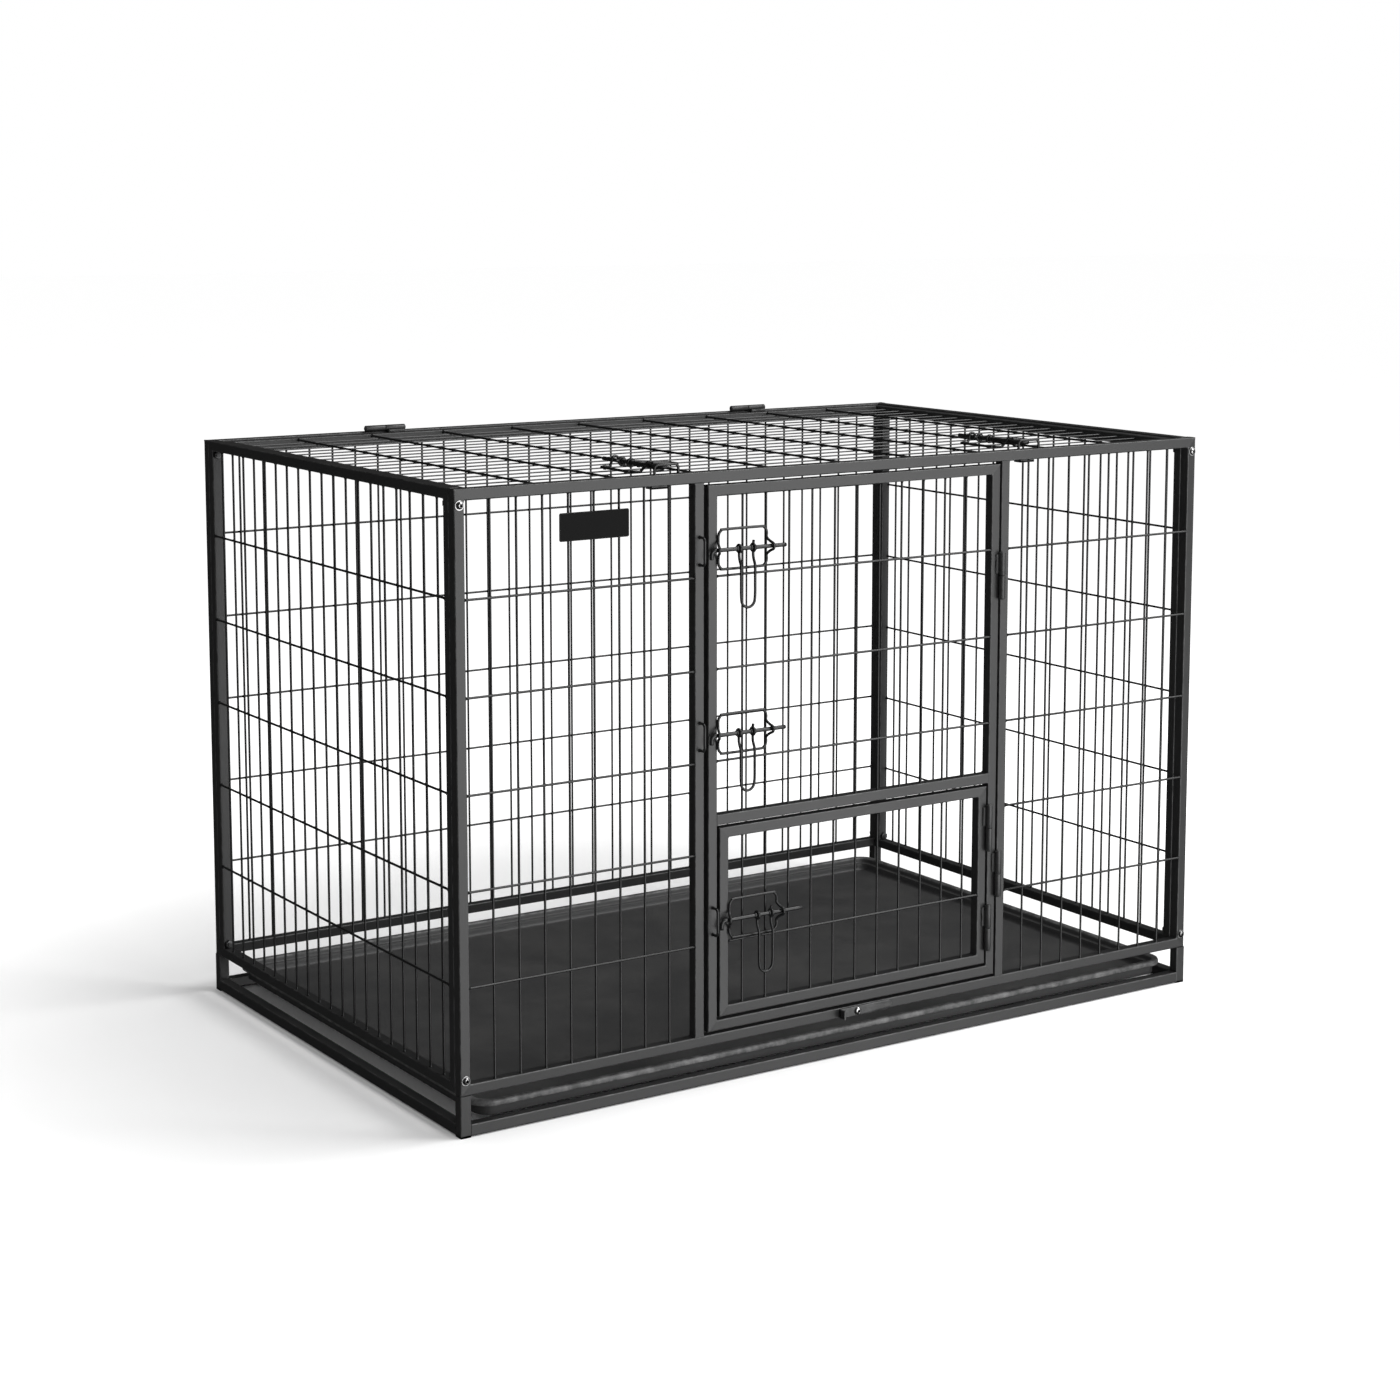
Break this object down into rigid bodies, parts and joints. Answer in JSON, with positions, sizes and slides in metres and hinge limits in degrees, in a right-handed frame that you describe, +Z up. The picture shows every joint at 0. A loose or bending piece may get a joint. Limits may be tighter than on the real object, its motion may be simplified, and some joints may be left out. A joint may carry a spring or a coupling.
{
  "type": "wire dog crate",
  "caption": "Heavy-duty steel cage for a dog, with a lid and a front door on hinges, a small door inside the front door, slide-bolt latches and a tray that slides out on a base frame.",
  "frame": {"origin": "the middle of the footprint, on the floor", "axes": "+X to the right along the long side, +Y to the back, +Z up; the doors face -Y"},
  "size_m": [1.2216, 0.7783, 0.8299],
  "materials": {
    "steel_tube": "satin black powder coat with a fine orange peel",
    "steel_wire": "satin black powder coat, a little glossier on the round wires",
    "tray_plastic": "dark grey moulded plastic with a fine texture",
    "plug_plastic": "black moulded plastic",
    "zinc_steel": "bright zinc plate",
    "plate_black": "satin black, blank"
  },
  "bodies": {
    "root": {"foot_plugs": "plug_plastic", "base_posts": "steel_tube", "base_rails": "steel_tube", "tray_rest_bars": "steel_tube", "base_studs": "zinc_steel", "left_panel_frame": "steel_tube", "left_panel_mesh": "steel_wire", "right_panel_frame": "steel_tube", "right_panel_mesh": "steel_wire", "back_panel_frame": "steel_tube", "back_panel_mesh": "steel_wire", "front_panel_frame": "steel_tube", "front_door_posts": "steel_tube", "front_left_mesh": "steel_wire", "front_right_mesh": "steel_wire", "lid_rests": "steel_tube", "main_hinge_post_halves": "steel_tube", "main_hinge_pins": "steel_tube", "lid_hinge_wall_halves": "steel_tube", "lid_hinge_pins": "steel_tube", "main_latch_keepers": "steel_wire", "lid_latch_keepers": "steel_wire", "front_corner_bolts": "zinc_steel", "back_corner_bolts": "zinc_steel", "corner_washers": "zinc_steel", "corner_nuts": "zinc_steel", "tray_stop_bolt": "zinc_steel", "name_plate": "plate_black"},
    "tray": {"tray": "tray_plastic"},
    "tray_stop": {"tray_stop_tab": "steel_tube"},
    "main_door": {"main_door_frame": "steel_tube", "main_door_mesh": "steel_wire", "main_hinge_door_halves": "steel_tube", "small_hinge_fixed_halves": "steel_tube", "small_hinge_pins": "steel_tube", "main_latch_guides": "steel_wire", "small_latch_keeper": "steel_wire"},
    "small_door": {"small_door_frame": "steel_tube", "small_door_mesh": "steel_wire", "small_hinge_door_halves": "steel_tube", "small_latch_guide": "steel_wire"},
    "lid": {"lid_frame": "steel_tube", "lid_mesh": "steel_wire", "lid_hinge_lid_halves": "steel_tube", "lid_latch_guides": "steel_wire"},
    "upper_bolt": {"upper_bolt": "steel_wire"},
    "upper_pull": {"upper_pull": "steel_wire"},
    "middle_bolt": {"middle_bolt": "steel_wire"},
    "middle_pull": {"middle_pull": "steel_wire"},
    "small_bolt": {"small_bolt": "steel_wire"},
    "small_pull": {"small_pull": "steel_wire"},
    "lid_left_bolt": {"lid_left_bolt": "steel_wire"},
    "lid_left_pull": {"lid_left_pull": "steel_wire"},
    "lid_right_bolt": {"lid_right_bolt": "steel_wire"},
    "lid_right_pull": {"lid_right_pull": "steel_wire"}
  },
  "joints": [
    {"name": "main_door_hinge", "type": "hinge", "parent": "root", "child": "main_door", "pos_m": [0.2455, -0.3848, 0.43], "axis": [0, 0, 1], "range_deg": [0, 165]},
    {"name": "small_door_hinge", "type": "hinge", "parent": "main_door", "child": "small_door", "pos_m": [0.2285, -0.3848, 0.2145], "axis": [0, 0, -1], "range_deg": [-165, 0]},
    {"name": "lid_hinge", "type": "hinge", "parent": "root", "child": "lid", "pos_m": [0, 0.3635, 0.8208], "axis": [-1, 0, 0], "range_deg": [0, 180]},
    {"name": "tray_slide", "type": "slide", "parent": "root", "child": "tray", "axis": [0, -1, 0], "range_m": [0, 0.6]},
    {"name": "tray_stop_pivot", "type": "hinge", "parent": "root", "child": "tray_stop", "pos_m": [0.002, -0.38275, 0.061], "axis": [0, -1, 0], "range_deg": [-90, 0]},
    {"name": "upper_bolt_slide", "type": "slide", "parent": "main_door", "child": "upper_bolt", "axis": [-1, 0, 0], "range_m": [0, 0.0195]},
    {"name": "upper_pull_swing", "type": "hinge", "parent": "upper_bolt", "child": "upper_pull", "pos_m": [-0.1865, -0.387, 0.714], "axis": [-1, 0, 0], "range_deg": [0, 170]},
    {"name": "middle_bolt_slide", "type": "slide", "parent": "main_door", "child": "middle_bolt", "axis": [-1, 0, 0], "range_m": [0, 0.0195]},
    {"name": "middle_pull_swing", "type": "hinge", "parent": "middle_bolt", "child": "middle_pull", "pos_m": [-0.1865, -0.387, 0.471], "axis": [-1, 0, 0], "range_deg": [0, 170]},
    {"name": "small_bolt_slide", "type": "slide", "parent": "small_door", "child": "small_bolt", "axis": [-1, 0, 0], "range_m": [0, 0.03]},
    {"name": "small_pull_swing", "type": "hinge", "parent": "small_bolt", "child": "small_pull", "pos_m": [-0.1565, -0.387, 0.222], "axis": [-1, 0, 0], "range_deg": [0, 170]},
    {"name": "lid_left_bolt_slide", "type": "slide", "parent": "lid", "child": "lid_left_bolt", "axis": [0, -1, 0], "range_m": [0, 0.022]},
    {"name": "lid_left_pull_swing", "type": "hinge", "parent": "lid_left_bolt", "child": "lid_left_pull", "pos_m": [-0.3, -0.276, 0.823], "axis": [0, -1, 0], "range_deg": [0, 170]},
    {"name": "lid_right_bolt_slide", "type": "slide", "parent": "lid", "child": "lid_right_bolt", "axis": [0, -1, 0], "range_m": [0, 0.022]},
    {"name": "lid_right_pull_swing", "type": "hinge", "parent": "lid_right_bolt", "child": "lid_right_pull", "pos_m": [0.3, -0.276, 0.823], "axis": [0, -1, 0], "range_deg": [0, 170]}
  ]
}
